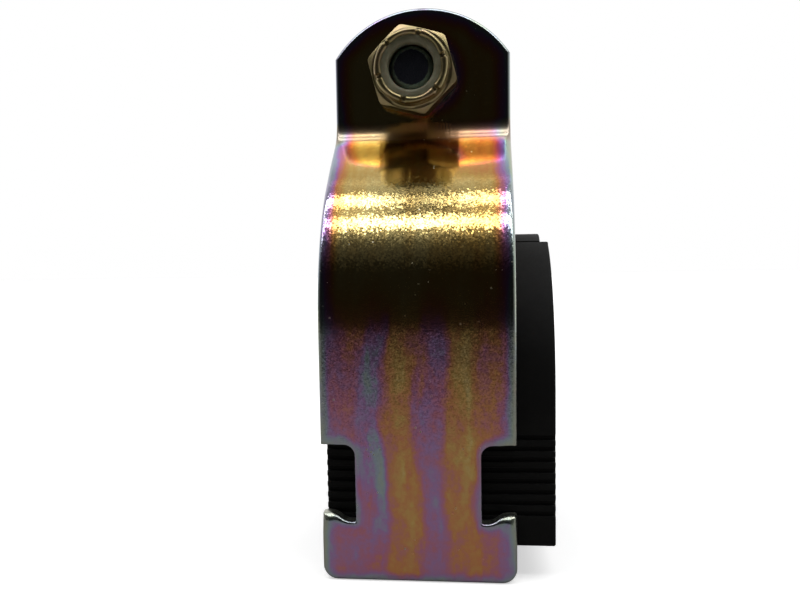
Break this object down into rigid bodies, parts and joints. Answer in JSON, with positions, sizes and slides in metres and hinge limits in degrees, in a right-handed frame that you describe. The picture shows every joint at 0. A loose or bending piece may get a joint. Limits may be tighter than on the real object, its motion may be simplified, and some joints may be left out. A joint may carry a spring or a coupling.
{
  "type": "strut pipe clamp",
  "caption": "Cushioned strut pipe clamp: two hooked strap halves round a slit elastomer ring, drawn together by a screw and nylon insert lock nut.",
  "frame": {"origin": "centre of the tube seat in the cushion, at the middle of the cushion's length", "axes": "+X along the tube, -Y towards the nut, +Z from the hooked tabs towards the ears"},
  "size_m": [0.0381, 0.0683, 0.0976],
  "materials": {
    "zinc_plated_sheet": "yellow dichromate zinc plate with rainbow bands, bright and slightly grained",
    "black_elastomer": "matte black elastomer",
    "plated_screw": "blue-green zinc plate",
    "plated_nut": "olive yellow zinc plate, satin",
    "nylon": "natural nylon, slightly cloudy"
  },
  "bodies": {
    "nut_side": {"near_strap": "zinc_plated_sheet", "cushion": "black_elastomer"},
    "nut": {"lock_nut": "plated_nut", "nylon_insert": "nylon"},
    "screw": {"screw": "plated_screw"},
    "head_side": {"far_strap": "zinc_plated_sheet"}
  },
  "joints": [
    {"name": "nut_turn", "type": "hinge", "parent": "nut_side", "child": "nut", "pos_m": [-0.0048, -0.0095, 0.05565], "axis": [0, 1, 0], "range_deg": [-361, 2062]},
    {"name": "screw_advance", "type": "slide", "parent": "nut_side", "child": "screw", "axis": [0, -1, 0], "range_m": [-0.00141, 0.00808]},
    {"name": "half_swivel", "type": "hinge", "parent": "screw", "child": "head_side", "pos_m": [-0.0048, 0.0119, 0.05565], "axis": [0, 1, 0], "continuous": true}
  ],
  "couplings": [
    {"joint": "nut_turn", "follows": "screw_advance", "rad_per_m": 4452.7}
  ]
}
